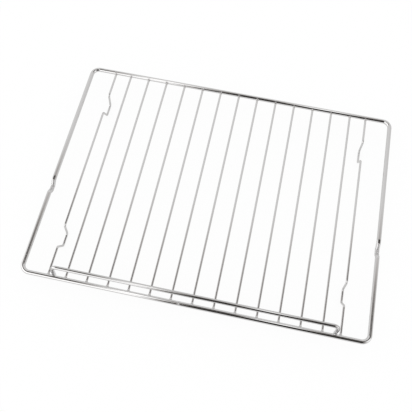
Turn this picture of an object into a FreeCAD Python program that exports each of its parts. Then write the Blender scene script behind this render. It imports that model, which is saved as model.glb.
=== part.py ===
# Oven shelf rack of round steel wire: a bent rod frame, cross wires butt welded between its long
# sides, the two outermost ones bent down into feet, and a stop rail standing over one long side.
import FreeCAD, Part
import math
import os

from FreeCAD import Vector

# Driving dimensions, in millimetres
SHELF_WIDTH = 465.0  # overall, along X
SHELF_DEPTH = 345.0  # overall, along Y
FRAME_ROD_DIAMETER = 6.0
FRAME_CORNER_RADIUS = 10.5  # bend radii are those of the centre lines

NOTCH_SETBACK = 41.0  # from mid-depth towards the rail to the middle of the side rod's dip
NOTCH_MOUTH = 19.0  # between the two bends at the top of the dip
NOTCH_FLOOR = 8.0  # between the two bends at its bottom
NOTCH_DEPTH = 5.0
NOTCH_BEND_RADIUS = 4.5
SHOULDER_RUN = 6.0  # the rod sags a little before the dip, on the side away from the rail
SHOULDER_DROP = 0.8
SHOULDER_BEND_RADIUS = 15.0

CROSS_WIRE_DIAMETER = 3.0
STRAIGHT_WIRE_COUNT = 13
SIDE_GAP = 36.5  # from a side rod's centre line to the footed wire's
FOOTED_WIRE_SPACING = 23.6  # from the footed wire to the first straight one

PLAIN_FOOT_INSET = 60.1  # from the plain long rod's centre line to the middle of the foot's mouth
RAIL_FOOT_INSET = 58.1  # the same from the long rod that carries the rail
FOOT_MOUTH = 31.3  # between the two bends at the top of the foot
FOOT_FLOOR = 19.1  # between the two bends where it stands
FOOT_STEEP_RUN = 1.5  # how far the foot's steep leg leans, on the side away from the rail
FOOT_DEPTH = 22.0
FOOT_BEND_RADIUS = 4.0

RAIL_ROD_DIAMETER = 5.0
RAIL_HEIGHT = 17.0  # from the frame's centre line to the rail's
RAIL_LEAN = 8.0  # from the centre line of the rod that carries it inwards to the rail's
RAIL_BEND_RADIUS = 7.0
RAIL_LEG_CLEARANCE = 2.7  # between a rail leg and the footed wire beside it
RAIL_LEG_SPLAY = 1.7  # how much further out a leg is at the rail than at the rod
RAIL_WELD_SINK = 0.4  # how deep a leg is welded into the rod's inner side

# Centre lines that follow from them; the feet stand on Z = 0 and the rail is on the -Y side
FRAME_ROD_RADIUS = FRAME_ROD_DIAMETER / 2
CROSS_WIRE_RADIUS = CROSS_WIRE_DIAMETER / 2
RAIL_ROD_RADIUS = RAIL_ROD_DIAMETER / 2
SIDE_X = SHELF_WIDTH / 2 - FRAME_ROD_RADIUS
LONG_Y = SHELF_DEPTH / 2 - FRAME_ROD_RADIUS
FRAME_Z = FOOT_DEPTH + CROSS_WIRE_RADIUS
FOOTED_WIRE_X = SIDE_X - SIDE_GAP
LAST_STRAIGHT_X = FOOTED_WIRE_X - FOOTED_WIRE_SPACING
RAIL_LEG_X = FOOTED_WIRE_X - CROSS_WIRE_RADIUS - RAIL_LEG_CLEARANCE - RAIL_ROD_RADIUS


def bent_path(stations, closed=False):
    """Straight runs joined by tangent arcs. A station is a corner point and the radius of its bend."""
    count = len(stations)
    edges = []
    start = None
    first_start = None
    for i, (corner, radius) in enumerate(stations):
        at_end = not closed and i in (0, count - 1)
        if at_end or radius == 0:
            leave, arrive, arc = corner, corner, None
        else:
            back = (stations[i - 1][0] - corner).normalize()
            ahead = (stations[(i + 1) % count][0] - corner).normalize()
            half_turn = (math.pi - back.getAngle(ahead)) / 2
            reach = radius * math.tan(half_turn)
            arrive = corner + back * reach
            leave = corner + ahead * reach
            inward = (back + ahead).normalize()
            crown = corner + inward * (radius / math.cos(half_turn) - radius)
            arc = Part.Arc(arrive, crown, leave)
        if start is None:
            first_start = arrive
        else:
            edges.append(Part.LineSegment(start, arrive).toShape())
        if arc:
            edges.append(arc.toShape())
        start = leave
    if closed:
        edges.append(Part.LineSegment(start, first_start).toShape())
    return Part.Wire(edges)


def round_bar(path, radius):
    """A round bar swept along a path that starts with a straight run."""
    first = path.Edges[0]
    heading = first.tangentAt(first.FirstParameter)
    section = Part.Wire(Part.makeCircle(radius, path.Vertexes[0].Point, heading))
    return path.makePipeShell([section], True, False)


def long_rod_seat(side):
    """The frame's long rod at +Y or -Y, which the ends of the wires and rail legs are cut to fit."""
    start = Vector(-SIDE_X, side * LONG_Y, FRAME_Z)
    return Part.makeCylinder(FRAME_ROD_RADIUS, 2 * SIDE_X, start, Vector(1, 0, 0))


def side_stations(side):
    """The corners of one side rod from -Y to +Y: two frame corners with the dip between them."""
    def at(y, drop):
        return Vector(side * SIDE_X, y, FRAME_Z - drop)

    return [
        (at(-LONG_Y, 0), FRAME_CORNER_RADIUS),
        (at(-NOTCH_SETBACK - NOTCH_MOUTH / 2, 0), NOTCH_BEND_RADIUS),
        (at(-NOTCH_SETBACK - NOTCH_FLOOR / 2, NOTCH_DEPTH), NOTCH_BEND_RADIUS),
        (at(-NOTCH_SETBACK + NOTCH_FLOOR / 2, NOTCH_DEPTH), NOTCH_BEND_RADIUS),
        (at(-NOTCH_SETBACK + NOTCH_MOUTH / 2, SHOULDER_DROP), NOTCH_BEND_RADIUS),
        (at(-NOTCH_SETBACK + NOTCH_MOUTH / 2 + SHOULDER_RUN, 0), SHOULDER_BEND_RADIUS),
        (at(LONG_Y, 0), FRAME_CORNER_RADIUS),
    ]


def outer_frame():
    butt_weld = (Vector(0, -LONG_Y, FRAME_Z), 0)
    loop = [butt_weld] + side_stations(1) + side_stations(-1)[::-1]
    return round_bar(bent_path(loop, closed=True), FRAME_ROD_RADIUS)


def cross_wire(x, dips):
    """A wire between the long rods at x, cut to the curve of both. dips holds its bends, if any."""
    ends = [(Vector(x, LONG_Y, FRAME_Z), 0), (Vector(x, -LONG_Y, FRAME_Z), 0)]
    wire = round_bar(bent_path(ends[:1] + dips + ends[1:]), CROSS_WIRE_RADIUS)
    return wire.cut([long_rod_seat(1), long_rod_seat(-1)])


def foot_stations(x, middle):
    """The bends of one foot: down the steep leg, along the floor and up the leg that slopes."""
    steep_top = middle + FOOT_MOUTH / 2
    steep_bottom = steep_top - FOOT_STEEP_RUN
    corners = [
        (steep_top, FRAME_Z),
        (steep_bottom, FRAME_Z - FOOT_DEPTH),
        (steep_bottom - FOOT_FLOOR, FRAME_Z - FOOT_DEPTH),
        (middle - FOOT_MOUTH / 2, FRAME_Z),
    ]
    return [(Vector(x, y, z), FOOT_BEND_RADIUS) for y, z in corners]


def footed_wire(side):
    x = side * FOOTED_WIRE_X
    plain_foot = foot_stations(x, LONG_Y - PLAIN_FOOT_INSET)
    rail_foot = foot_stations(x, RAIL_FOOT_INSET - LONG_Y)
    return cross_wire(x, plain_foot + rail_foot)


def stop_rail():
    """The rail and its two legs, welded to the inner side of a long rod and level with its underside."""
    beside_rod = FRAME_ROD_RADIUS + RAIL_ROD_RADIUS - RAIL_WELD_SINK
    weld = Vector(RAIL_LEG_X, -LONG_Y + beside_rod, FRAME_Z)
    top_of_leg = Vector(RAIL_LEG_X + RAIL_LEG_SPLAY, -LONG_Y + RAIL_LEAN, FRAME_Z + RAIL_HEIGHT)
    end_of_leg = weld + (weld - top_of_leg) * (FRAME_ROD_RADIUS / RAIL_HEIGHT)
    stations = [(end_of_leg, 0), (top_of_leg, RAIL_BEND_RADIUS)]
    mirrored = [(Vector(-p.x, p.y, p.z), radius) for p, radius in stations[::-1]]
    rail = round_bar(bent_path(stations + mirrored), RAIL_ROD_RADIUS)
    return rail.cut(long_rod_seat(-1))


def all_pieces():
    pieces = {"outer_frame": outer_frame(), "stop_rail": stop_rail()}
    pitch = 2 * LAST_STRAIGHT_X / (STRAIGHT_WIRE_COUNT - 1)
    for i in range(STRAIGHT_WIRE_COUNT):
        pieces[f"cross_wire_{i + 1:02d}"] = cross_wire(-LAST_STRAIGHT_X + i * pitch, [])
    pieces["left_footed_wire"] = footed_wire(-1)
    pieces["right_footed_wire"] = footed_wire(1)
    return pieces


os.makedirs("parts", exist_ok=True)
for name, shape in all_pieces().items():
    shape.exportStep(f"parts/{name}.step")
    print(name, "volume", round(shape.Volume, 1), "solids", len(shape.Solids), "valid", shape.isValid())
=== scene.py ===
# Chrome-plated oven shelf: rods fed and bent as on a wire bender and welded at their ends,
# seen from above on white.
import math

import bpy
from mathutils import Matrix, Vector


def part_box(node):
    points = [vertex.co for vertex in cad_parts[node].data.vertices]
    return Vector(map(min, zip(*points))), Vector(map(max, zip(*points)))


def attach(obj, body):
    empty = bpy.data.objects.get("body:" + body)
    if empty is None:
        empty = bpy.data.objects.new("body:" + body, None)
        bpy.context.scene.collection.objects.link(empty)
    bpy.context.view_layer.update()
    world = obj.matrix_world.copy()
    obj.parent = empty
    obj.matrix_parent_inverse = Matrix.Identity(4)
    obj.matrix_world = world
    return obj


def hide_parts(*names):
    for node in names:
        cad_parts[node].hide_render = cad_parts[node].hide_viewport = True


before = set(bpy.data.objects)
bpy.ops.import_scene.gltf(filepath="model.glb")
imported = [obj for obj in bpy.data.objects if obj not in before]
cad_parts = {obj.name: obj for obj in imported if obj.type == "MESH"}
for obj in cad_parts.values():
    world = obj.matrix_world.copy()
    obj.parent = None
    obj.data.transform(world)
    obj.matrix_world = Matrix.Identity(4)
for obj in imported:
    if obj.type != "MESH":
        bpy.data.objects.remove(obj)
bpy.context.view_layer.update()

MM = 0.001

# Sizes that the boxes of the nodes don't give
RAIL_ROD_RADIUS = 2.5 * MM
RAIL_LEG_CLEARANCE = 2.7 * MM  # between a rail leg and the footed wire beside it

# Sizes of the shelf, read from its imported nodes
STRAIGHT_WIRES = sorted(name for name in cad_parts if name.startswith("cross_wire_"))
FOOTED_WIRES = ["left_footed_wire", "right_footed_wire"]
frame_low, frame_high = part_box("outer_frame")
wire_low, wire_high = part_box(STRAIGHT_WIRES[0])
foot_low, foot_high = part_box(FOOTED_WIRES[0])
rail_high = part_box("stop_rail")[1]
CROSS_WIRE_RADIUS = (wire_high.x - wire_low.x) / 2
FRAME_Z = (wire_high.z + wire_low.z) / 2
FRAME_ROD_RADIUS = frame_high.z - FRAME_Z
SIDE_X = frame_high.x - FRAME_ROD_RADIUS
LONG_Y = frame_high.y - FRAME_ROD_RADIUS
NOTCH_DEPTH = FRAME_Z - FRAME_ROD_RADIUS - frame_low.z
FOOT_DEPTH = FRAME_Z - CROSS_WIRE_RADIUS - foot_low.z
LAST_WIRE_X = -(wire_low.x + wire_high.x) / 2
WIRE_PITCH = 2 * LAST_WIRE_X / (len(STRAIGHT_WIRES) - 1)
FOOTED_WIRE_X = -(foot_low.x + foot_high.x) / 2
RAIL_LEG_X = FOOTED_WIRE_X - CROSS_WIRE_RADIUS - RAIL_LEG_CLEARANCE - RAIL_ROD_RADIUS
RAIL_Y = rail_high.y - RAIL_ROD_RADIUS
RAIL_Z = rail_high.z - RAIL_ROD_RADIUS

# Bends of the rods, measured on their centre lines
FRAME_CORNER_RADIUS = 10.5 * MM
NOTCH_SETBACK = 41 * MM  # from mid-depth towards the rail to the middle of the side rod's dip
NOTCH_MOUTH = 19 * MM  # between the two bends at the top of the dip
NOTCH_FLOOR = 8 * MM  # between the two bends at its bottom
NOTCH_BEND_RADIUS = 4.5 * MM
SHOULDER_RUN = 6 * MM  # the rod sags a little before the dip, on the side away from the rail
SHOULDER_DROP = 0.8 * MM
SHOULDER_BEND_RADIUS = 15 * MM
PLAIN_FOOT_INSET = 60.1 * MM  # from the plain long rod to the middle of the foot's mouth
RAIL_FOOT_INSET = 58.1 * MM  # the same from the long rod that carries the rail
FOOT_MOUTH = 31.3 * MM  # between the two bends at the top of the foot
FOOT_FLOOR = 19.1 * MM  # between the two bends where it stands
FOOT_STEEP_RUN = 1.5 * MM  # how far the foot's steep leg leans, on the side away from the rail
FOOT_BEND_RADIUS = 4 * MM
RAIL_BEND_RADIUS = 7 * MM
RAIL_LEG_SPLAY = 1.7 * MM  # how much further out a leg is at the rail than at the rod
RAIL_WELD_SINK = 0.4 * MM  # how deep a leg is welded into the rod's inner side

# Roundness of the rods and wires
ROD_SIDES = 48
WIRE_SIDES = 32
BEND_STEP = math.radians(4)  # the most that a bend turns from ring to ring
SHARP_ANGLE = math.radians(40)  # edges sharper than this stay sharp
SEAM_GAP = 0.001 * MM  # points closer than this are one

# Upset collars that the welds leave at the ends of the wires
COLLAR_LENGTH = 2.2 * MM
COLLAR_SWELL = 1.35
COLLAR_RINGS = 6
WELD_DEPTH = 1.6 * MM  # how far a wire's end is sunk into the rod

# Camera, as the photograph was taken
CAMERA_PLACE = Vector((0.0520, -0.3936, 0.7940))
CAMERA_AIM = Vector((-0.0111, -0.0251, 0.0235))
CAMERA_ROLL = math.radians(2.38)
LENS = 53.82  # millimetres
SENSOR = 36


# Rods on the bender

def start_ring(name, place, heading, radius, sides, filled):
    """The end of a rod as a ring of edges across its heading, ready to be fed along the rod's path."""
    bpy.ops.object.select_all(action="DESELECT")
    bpy.ops.mesh.primitive_circle_add(
        vertices=sides,
        radius=radius,
        fill_type="NGON" if filled else "NOTHING",
        location=place,
        rotation=heading.to_track_quat("Z", "Y").to_euler(),
    )
    rod = bpy.context.object
    rod.name = name
    bpy.ops.object.mode_set(mode="EDIT")
    bpy.ops.mesh.select_all(action="SELECT")
    return rod


def feed(step):
    """Pushes the ring straight on."""
    bpy.ops.mesh.extrude_region_move(TRANSFORM_OT_translate={"value": step})


def bend(corner, before, after, radius):
    """Spins the ring round the bend at a corner. The ring must stand where the bend starts."""
    back = (before - corner).normalized()
    ahead = (after - corner).normalized()
    turn = math.pi - back.angle(ahead)
    centre = corner + (back + ahead).normalized() * (radius / math.cos(turn / 2))
    steps = math.ceil(turn / BEND_STEP)
    bpy.ops.mesh.spin(steps=steps, angle=-turn, center=centre, axis=ahead.cross(back).normalized())


def bend_reach(corner, before, after, radius):
    """How far before and after its corner a bend of that radius starts and ends."""
    return radius * math.tan((math.pi - (before - corner).angle(after - corner)) / 2)


def follow(stations):
    """Feeds and bends the ring through the stations.

    Each station is a corner and the radius of its bend, which is 0 at both ends.
    """
    place = stations[0][0]
    for i in range(1, len(stations)):
        before, (corner, radius) = stations[i - 1][0], stations[i]
        if radius == 0:
            feed(corner - place)
            place = corner
            continue
        after = stations[i + 1][0]
        reach = bend_reach(corner, before, after, radius)
        start = corner + (before - corner).normalized() * reach
        feed(start - place)
        bend(corner, before, after, radius)
        place = corner + (after - corner).normalized() * reach


def flare(place, step, radius_from, radius_to):
    """Feeds the ring on by step while its radius changes, fastest where it is thick."""
    radius = radius_from
    for i in range(1, COLLAR_RINGS + 1):
        share = i / COLLAR_RINGS
        if radius_to > radius_from:
            changed = share ** 2
        else:
            changed = 1 - (1 - share) ** 2
        wanted = radius_from + (radius_to - radius_from) * changed
        feed(step / COLLAR_RINGS)
        place = place + step / COLLAR_RINGS
        bpy.ops.transform.resize(value=(wanted / radius,) * 3, center_override=place)
        radius = wanted
    return place


def cut_free(rod):
    """Closes the seam, turns the faces outwards and leaves the rod's place in its mesh."""
    bpy.ops.mesh.select_all(action="SELECT")
    bpy.ops.mesh.remove_doubles(threshold=SEAM_GAP)
    bpy.ops.mesh.normals_make_consistent(inside=False)
    bpy.ops.object.mode_set(mode="OBJECT")
    bpy.ops.object.transform_apply(location=True, rotation=True, scale=True)
    bpy.ops.object.shade_smooth_by_angle(angle=SHARP_ANGLE)
    return rod


def welded_rod(name, stations, radius, sides):
    """A rod with a collar at each end, where it is welded to the surface of a frame rod."""
    swollen = radius * COLLAR_SWELL
    first, second = stations[0][0], stations[1][0]
    last, before_last = stations[-1][0], stations[-2][0]
    heading = (second - first).normalized()
    arrival = (last - before_last).normalized()
    rod = start_ring(name, first - heading * WELD_DEPTH, heading, swollen, sides, True)
    feed(heading * WELD_DEPTH)
    leave = flare(first, heading * COLLAR_LENGTH, swollen, radius)
    arrive = last - arrival * COLLAR_LENGTH
    follow([(leave, 0)] + stations[1:-1] + [(arrive, 0)])
    flare(arrive, arrival * COLLAR_LENGTH, radius, swollen)
    feed(arrival * WELD_DEPTH)
    return cut_free(rod)


# The shelf's own pieces

def side_stations(side):
    """The corners of one side rod from -Y to +Y: two frame corners with the dip between them."""
    def at(y, drop):
        return Vector((side * SIDE_X, y, FRAME_Z - drop))

    return [
        (at(-LONG_Y, 0), FRAME_CORNER_RADIUS),
        (at(-NOTCH_SETBACK - NOTCH_MOUTH / 2, 0), NOTCH_BEND_RADIUS),
        (at(-NOTCH_SETBACK - NOTCH_FLOOR / 2, NOTCH_DEPTH), NOTCH_BEND_RADIUS),
        (at(-NOTCH_SETBACK + NOTCH_FLOOR / 2, NOTCH_DEPTH), NOTCH_BEND_RADIUS),
        (at(-NOTCH_SETBACK + NOTCH_MOUTH / 2, SHOULDER_DROP), NOTCH_BEND_RADIUS),
        (at(-NOTCH_SETBACK + NOTCH_MOUTH / 2 + SHOULDER_RUN, 0), SHOULDER_BEND_RADIUS),
        (at(LONG_Y, 0), FRAME_CORNER_RADIUS),
    ]


def plated_frame():
    """The closed loop, fed from a seam under the rail all the way round to it."""
    seam = (Vector((0, -LONG_Y, FRAME_Z)), 0)
    rod = start_ring("plated_frame", seam[0], Vector((1, 0, 0)), FRAME_ROD_RADIUS, ROD_SIDES, False)
    follow([seam] + side_stations(1) + side_stations(-1)[::-1] + [seam])
    return cut_free(rod)


def wire_ends(x):
    """Where a wire at x meets the surfaces of the two long rods, from +Y to -Y."""
    reach = LONG_Y - FRAME_ROD_RADIUS
    return (Vector((x, reach, FRAME_Z)), 0), (Vector((x, -reach, FRAME_Z)), 0)


def foot_stations(x, middle):
    """The bends of one foot: down the steep leg, along the floor and up the leg that slopes."""
    steep_top = middle + FOOT_MOUTH / 2
    steep_bottom = steep_top - FOOT_STEEP_RUN
    corners = [
        (steep_top, FRAME_Z),
        (steep_bottom, FRAME_Z - FOOT_DEPTH),
        (steep_bottom - FOOT_FLOOR, FRAME_Z - FOOT_DEPTH),
        (middle - FOOT_MOUTH / 2, FRAME_Z),
    ]
    return [(Vector((x, y, z)), FOOT_BEND_RADIUS) for y, z in corners]


def plated_wire(node):
    """A straight or footed wire, at the place of its node."""
    low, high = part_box(node)
    x = (low.x + high.x) / 2
    start, end = wire_ends(x)
    bends = []
    if node in FOOTED_WIRES:
        bends = foot_stations(x, LONG_Y - PLAIN_FOOT_INSET)
        bends += foot_stations(x, RAIL_FOOT_INSET - LONG_Y)
    return welded_rod(f"plated_{node}", [start] + bends + [end], CROSS_WIRE_RADIUS, WIRE_SIDES)


def plated_rail():
    """The rail and its legs, which run down inside the rod that carries them and are welded to its side."""
    weld_y = -LONG_Y + FRAME_ROD_RADIUS + RAIL_ROD_RADIUS - RAIL_WELD_SINK
    weld = Vector((RAIL_LEG_X, weld_y, FRAME_Z))
    top_of_leg = Vector((RAIL_LEG_X + RAIL_LEG_SPLAY, RAIL_Y, RAIL_Z))
    end_of_leg = weld + (weld - top_of_leg) * (FRAME_ROD_RADIUS / (RAIL_Z - FRAME_Z))
    stations = [(end_of_leg, 0), (top_of_leg, RAIL_BEND_RADIUS)]
    mirrored = [(Vector((-p.x, p.y, p.z)), radius) for p, radius in stations[::-1]]
    heading = (top_of_leg - end_of_leg).normalized()
    rod = start_ring("plated_stop_rail", end_of_leg, heading, RAIL_ROD_RADIUS, ROD_SIDES, True)
    follow(stations + mirrored)
    return cut_free(rod)


# Shader maths

class Shade:
    """An output of a shader node.

    Sums, differences and products of such values add Math nodes, and add() makes any other node.
    """

    def __init__(self, tree, node=None, output=0):
        self.tree = tree
        self.node = node
        self.output = output

    def add(self, kind, settings=None, inputs=None, output=0):
        node = self.tree.nodes.new(kind)
        for name, value in (settings or {}).items():
            setattr(node, name, value)
        for key, value in (inputs or {}).items():
            if isinstance(value, Shade):
                self.tree.links.new(value.node.outputs[value.output], node.inputs[key])
            else:
                node.inputs[key].default_value = value
        return Shade(self.tree, node, output)

    def pick(self, output):
        return Shade(self.tree, self.node, output)

    def math(self, operation, *values):
        return self.add("ShaderNodeMath", {"operation": operation}, dict(enumerate(values)))

    def ramp(self, start, end):
        """0 up to start, 1 from end on, and a smooth step between; start may be the larger one."""
        return self.add(
            "ShaderNodeMapRange",
            {"interpolation_type": "SMOOTHSTEP"},
            {"Value": self, "From Min": start, "From Max": end},
        )

    def at_least(self, low):
        return self.math("MAXIMUM", self, low)

    def at_most(self, high):
        return self.math("MINIMUM", self, high)

    def blend(self, kind, share, start, end):
        """From start to end by a share held between 0 and 1, for colours (RGBA) and directions (VECTOR)."""
        return self.add(
            "ShaderNodeMix",
            {"data_type": kind},
            {"Factor": share, "A": start, "B": end},
            output="Result",
        )

    def hump(self, middle, reach):
        """1 at the middle, falling smoothly to 0 at reach from it."""
        return self.within(middle, 0, reach)

    def within(self, middle, half, fade):
        """1 up to half from the middle, falling smoothly to 0 over the fade beyond."""
        return abs(self - middle).ramp(half + fade, half)

    def __abs__(self):
        return self.math("ABSOLUTE", self)

    def __add__(self, other):
        return self.math("ADD", self, other)

    def __sub__(self, other):
        return self.math("SUBTRACT", self, other)

    def __mul__(self, other):
        return self.math("MULTIPLY", self, other)

    def __rsub__(self, other):
        return self.math("SUBTRACT", other, self)

    __radd__ = __add__
    __rmul__ = __mul__


# Finishes

WHITE = (1, 1, 1, 1)
CHROME_TINT = (0.612, 0.607, 0.605, 1)
# the rail's plating, a darker copy of the frame's chrome: painted shade
RAIL_PAINTED_SHADE_TINT = (0.553, 0.548, 0.546, 1)
# lighter tint low on the rail's legs: a painted reflection of the white ground
LEG_PAINTED_REFLECTION_TINT = (0.80, 0.80, 0.80, 1)
CHROME_EDGE_TINT = (0.795, 0.79, 0.785, 1)
WELD_TINT = (0.40, 0.38, 0.36, 1)
WELD_STAIN = 0.2  # share of the welds' tint at a weld
GRAIN_STAIN = 0.08  # and its share in the grain
PLATING_ROUGHNESS = 0.03
GRAIN_ROUGHNESS = 0.04  # added by the grain
WELD_ROUGHNESS = 0.35  # added at a weld
DULL_ROUGHNESS = 0.4  # added where the plating is dulled
WELD_MARK = 3 * MM  # how far from a weld the plating is marked
LEG_DULL_AND_REFLECTION_REACH = 9 * MM  # how far up from the rod a rail leg is made dull and lighter in tint; the lighter tint is a painted reflection
BUTT_WELD_X = -17 * MM  # where the frame's rod was closed, under the rail
BUTT_WELD_REACH = 2.5 * MM
PLATING_GRAIN = 900.0  # noise cells to the metre
GRAIN_DETAIL = 3.0
DRAWING_WAVES = 60.0  # the same for the waves
WAVE_DETAIL = 2.0
WAVE_HEIGHT = 0.02 * MM
DIP_FADE = 1.5 * MM  # over which the dulling of a dip ends

# The small flat that the press left on top of each dip's shoulder, made by turning the normal there
FLAT_WIDTH = 2.2 * MM
FLAT_LENGTH = 4.3 * MM
FLAT_EDGE = 0.3 * MM
FLAT_TILT = math.radians(11)
FLAT_NORMAL = Vector((0, -math.sin(FLAT_TILT), math.cos(FLAT_TILT)))


def chrome(name, plating, weld_mask=None, dull_and_reflection_mask=None, dull_and_reflection_tint=CHROME_TINT, flat_mask=None):
    """Bright plating on drawn steel, with a fine grain in its gloss and slow waves from drawing.

    The masks say where it is welded, where it is made dull (on the rail's legs also given a lighter tint, a
    painted reflection) and where it is pressed flat.
    """
    material = bpy.data.materials.new(name)
    material.use_nodes = True
    tree = material.node_tree
    shader = tree.nodes["Principled BSDF"]
    base = Shade(tree)
    place = base.add("ShaderNodeTexCoord", output="Object")
    grain = base.add(
        "ShaderNodeTexNoise",
        inputs={"Vector": place, "Scale": PLATING_GRAIN, "Detail": GRAIN_DETAIL},
    )
    waves = base.add(
        "ShaderNodeTexNoise",
        inputs={"Vector": place, "Scale": DRAWING_WAVES, "Detail": WAVE_DETAIL},
    )
    at = base.add("ShaderNodeSeparateXYZ", inputs={"Vector": place})
    weld = weld_mask(at) if weld_mask else 0
    tint = base.blend("RGBA", weld * WELD_STAIN + grain * GRAIN_STAIN, plating, WELD_TINT)
    roughness = PLATING_ROUGHNESS + GRAIN_ROUGHNESS * grain + WELD_ROUGHNESS * weld
    if dull_and_reflection_mask:
        dull_and_reflection = dull_and_reflection_mask(at)
        roughness = roughness + DULL_ROUGHNESS * dull_and_reflection
        # on the rail's legs this lighter tint is a painted reflection of the white ground
        tint = base.blend("RGBA", dull_and_reflection, tint, dull_and_reflection_tint)
    relief = base.add(
        "ShaderNodeBump",
        inputs={"Strength": 1.0, "Distance": WAVE_HEIGHT, "Height": waves},
        output="Normal",
    )
    if flat_mask:
        pressed = base.blend("VECTOR", flat_mask(at), relief, FLAT_NORMAL)
        relief = base.add("ShaderNodeVectorMath", {"operation": "NORMALIZE"}, {0: pressed})
    for value, socket in ((tint, "Base Color"), (roughness, "Roughness"), (relief, "Normal")):
        tree.links.new(value.node.outputs[value.output], shader.inputs[socket])
    shader.inputs["Metallic"].default_value = 1
    shader.inputs["Specular Tint"].default_value = CHROME_EDGE_TINT
    return material


def wire_end(place):
    """1 where a wire meets a long rod, 0 from a little way off."""
    reach = LONG_Y - FRAME_ROD_RADIUS
    return abs(place.pick("Y")).ramp(reach - WELD_MARK, reach)


def leg_end(place):
    """1 where a rail leg meets the rod that carries it, 0 from a little way up. There the leg is made dull
    and given a lighter tint, a painted reflection of the white ground.
    """
    height = FRAME_Z + FRAME_ROD_RADIUS
    return place.pick("Z").ramp(height + LEG_DULL_AND_REFLECTION_REACH, height)


def wire_seats(place):
    """1 on the inner faces of the long rods where a wire is welded on."""
    x, y = place.pick("X"), place.pick("Y")
    inner = abs(y).ramp(LONG_Y, LONG_Y - FRAME_ROD_RADIUS)
    from_wire = x.math("WRAP", x, WIRE_PITCH / 2, -WIRE_PITCH / 2)
    straight = from_wire.hump(0, WELD_MARK) * abs(x).ramp(LAST_WIRE_X + WELD_MARK, LAST_WIRE_X)
    footed = abs(x).hump(FOOTED_WIRE_X, WELD_MARK)
    return inner * (straight + footed)


def butt_weld(place):
    """1 where the frame's ends were welded together and ground flush, in the rod under the rail."""
    x, y = place.pick("X"), place.pick("Y")
    return x.hump(BUTT_WELD_X, BUTT_WELD_REACH) * y.ramp(0, -LONG_Y + FRAME_ROD_RADIUS)


def worked_spots(place):
    """1 at the ground butt weld and in the dips, where the press marked the steel under the plating."""
    dips = place.pick("Y").within(-NOTCH_SETBACK, (NOTCH_MOUTH - DIP_FADE) / 2, DIP_FADE)
    return butt_weld(place) + dips


def shoulder_flats(place):
    """1 on the small flat on top of each dip's shoulder."""
    x, y, z = place.pick("X"), place.pick("Y"), place.pick("Z")
    across = abs(x).within(SIDE_X, FLAT_WIDTH / 2, FLAT_EDGE)
    along = y.within(-NOTCH_SETBACK + (NOTCH_MOUTH + SHOULDER_RUN) / 2, FLAT_LENGTH / 2, FLAT_EDGE)
    return across * along * z.ramp(FRAME_Z, FRAME_Z + FLAT_EDGE)


# The studio

FLOOR_REACH = 3.0  # from the middle to each edge
FLOOR_SHADOW = 0.12  # share of the ground's white that the object's shadow can take away

# The room that the chrome mirrors. A place is the X or Y part of the direction in which a thing is seen,
# an edge is where its light starts and where it is full, and a brightness of 1 is white.
REAR_WALL_EDGE = (0.298, 0.468)
REAR_WALL_BRIGHTNESS = 0.96
REAR_WALL_FALL = 0.07  # how much darker it gets towards the right
SOFTBOX_EDGE = (-0.10, -0.18)
SOFTBOX_SLANT = 0.84  # its depth runs to the left and, by this share, to the front
SOFTBOX_START = 0.60  # where along its depth its light starts
SOFTBOX_RISE = 6.6  # how fast it brightens from there
SOFTBOX_BRIGHTNESS = 1.8
LEFT_STRIP_X = -0.162
LEFT_STRIP_REACH = 0.105
LEFT_STRIP_GLOW = 0.15  # what is left of it behind its rear edge
LEFT_STRIP_BRIGHTNESS = 1.7
LEFT_STRIP_REAR_EDGE = (0.353, 0.190)
LEFT_STRIP_FRONT_EDGE = (-0.85, -0.325)
RIGHT_STRIP_X = 0.078
RIGHT_STRIP_REACH = 0.085
RIGHT_STRIP_Y = 0.135
RIGHT_STRIP_HALF_LENGTH = 0.414
RIGHT_STRIP_BRIGHTNESS = 2.4
LEFT_WALL_EDGE = (-0.35, -0.90)
LEFT_WALL_BRIGHTNESS = 0.9
RIGHT_WALL_EDGE = (0.50, 0.885)
RIGHT_WALL_BRIGHTNESS = 0.7
REFLECTOR_EDGE = (0.28, 0.50)
REFLECTOR_REAR_EDGE = (0.08, -0.10)
REFLECTOR_FRONT_EDGE = (-0.75, -0.40)
REFLECTOR_BRIGHTNESS = 0.8
DIM_COLOUR = (1.10, 1.0, 0.93, 1)  # of the unlit walls and ceiling
CEILING_BRIGHTNESS = 0.03
CEILING_GLOW = 0.18
CEILING_GLOW_Y = -0.15
CEILING_GLOW_REACH = 0.33


def seen_directly(base):
    """1 for the rays that show the white ground: those from the camera, in metal and through glass."""
    rays = base.add("ShaderNodeLightPath")
    seen = rays.pick("Is Camera Ray") + rays.pick("Is Glossy Ray") + rays.pick("Is Transmission Ray")
    return seen.at_most(1)


def white_floor():
    """The white ground, which keeps a trace of the shelf's shadow."""
    bpy.ops.object.select_all(action="DESELECT")
    bpy.ops.mesh.primitive_plane_add(size=2 * FLOOR_REACH)
    floor = bpy.context.object
    floor.name = "white_floor"
    material = bpy.data.materials.new("white_floor")
    material.use_nodes = True
    tree = material.node_tree
    tree.nodes.clear()
    base = Shade(tree)
    matt = base.add("ShaderNodeBsdfDiffuse", inputs={"Color": WHITE})
    white = base.add("ShaderNodeEmission", inputs={"Color": WHITE, "Strength": 1.0})
    whiteness = seen_directly(base) * (1 - FLOOR_SHADOW)
    mixed = base.add("ShaderNodeMixShader", inputs={0: whiteness, 1: matt, 2: white})
    base.add("ShaderNodeOutputMaterial", inputs={"Surface": mixed})
    floor.data.materials.append(material)


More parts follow.
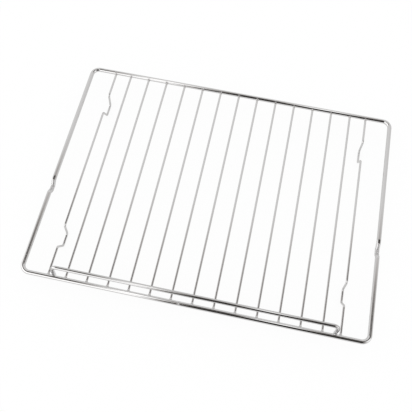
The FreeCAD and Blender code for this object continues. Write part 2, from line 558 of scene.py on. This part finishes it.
def studio_light():
    """A pale rear wall, a softbox at the front left and two strip lights, with the rest of the room dim."""
    world = bpy.data.worlds.new("studio")
    bpy.context.scene.world = world
    world.use_nodes = True
    tree = world.node_tree
    tree.nodes.clear()
    base = Shade(tree)
    direction = base.add("ShaderNodeTexCoord", output="Generated")
    towards = base.add("ShaderNodeSeparateXYZ", inputs={"Vector": direction})
    x, y = towards.pick("X"), towards.pick("Y")

    rear = y.ramp(*REAR_WALL_EDGE)
    rear_wall = REAR_WALL_BRIGHTNESS - REAR_WALL_FALL * x
    slant = -SOFTBOX_START - x - SOFTBOX_SLANT * y
    softbox = x.ramp(*SOFTBOX_EDGE) * SOFTBOX_RISE * slant.at_least(0)
    left_wall = x.ramp(*LEFT_WALL_EDGE) * LEFT_WALL_BRIGHTNESS
    left_side = (softbox + left_wall).at_most(SOFTBOX_BRIGHTNESS)
    left_strip = LEFT_STRIP_GLOW + LEFT_STRIP_BRIGHTNESS * y.ramp(*LEFT_STRIP_REAR_EDGE)
    left_strip = left_strip * x.hump(LEFT_STRIP_X, LEFT_STRIP_REACH) * y.ramp(*LEFT_STRIP_FRONT_EDGE)
    right_strip = x.hump(RIGHT_STRIP_X, RIGHT_STRIP_REACH) * y.hump(RIGHT_STRIP_Y, RIGHT_STRIP_HALF_LENGTH)
    right_strip = right_strip * RIGHT_STRIP_BRIGHTNESS
    reflector = x.ramp(*REFLECTOR_EDGE) * y.ramp(*REFLECTOR_REAR_EDGE) * y.ramp(*REFLECTOR_FRONT_EDGE)
    right_side = x.ramp(*RIGHT_WALL_EDGE) * RIGHT_WALL_BRIGHTNESS + reflector * REFLECTOR_BRIGHTNESS
    ceiling = CEILING_BRIGHTNESS + CEILING_GLOW * y.hump(CEILING_GLOW_Y, CEILING_GLOW_REACH)
    room = left_side + left_strip + right_strip + right_side + ceiling
    light = room * (1 - rear) + rear_wall * rear

    rays = base.add("ShaderNodeLightPath")
    glossy = rays.pick("Is Glossy Ray")
    strength = light * glossy + (1 - glossy)
    colour = base.blend("RGBA", strength, DIM_COLOUR, WHITE)
    background = base.add("ShaderNodeBackground", inputs={"Color": colour, "Strength": strength})
    base.add("ShaderNodeOutputWorld", inputs={"Surface": background})


def photo_camera():
    """The photograph's viewpoint."""
    camera = bpy.data.objects.new("camera", bpy.data.cameras.new("camera"))
    bpy.context.scene.collection.objects.link(camera)
    look = CAMERA_AIM - CAMERA_PLACE
    turned = look.to_track_quat("-Z", "Y").to_matrix() @ Matrix.Rotation(CAMERA_ROLL, 3, "Z")
    camera.matrix_world = Matrix.Translation(CAMERA_PLACE) @ turned.to_4x4()
    camera.data.sensor_width = SENSOR
    camera.data.lens = LENS
    bpy.context.scene.camera = camera


# Assembly

frame_chrome = chrome("frame_chrome", CHROME_TINT, wire_seats, worked_spots, flat_mask=shoulder_flats)
# the lighter tint low on the rail's legs is a painted reflection
# the rail's darker tint is painted shade
rail_chrome = chrome("rail_chrome", RAIL_PAINTED_SHADE_TINT, dull_and_reflection_mask=leg_end, dull_and_reflection_tint=LEG_PAINTED_REFLECTION_TINT)
wire_chrome = chrome("wire_chrome", CHROME_TINT, wire_end)


def dress(piece, node, material):
    """Gives a piece its finish, hangs it on the root body and hides the node it stands for."""
    piece.data.materials.append(material)
    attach(piece, "root")
    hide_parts(node)


dress(plated_frame(), "outer_frame", frame_chrome)
dress(plated_rail(), "stop_rail", rail_chrome)
for node in STRAIGHT_WIRES + FOOTED_WIRES:
    dress(plated_wire(node), node, wire_chrome)

white_floor()
studio_light()
photo_camera()
bpy.context.scene.view_settings.view_transform = "Standard"
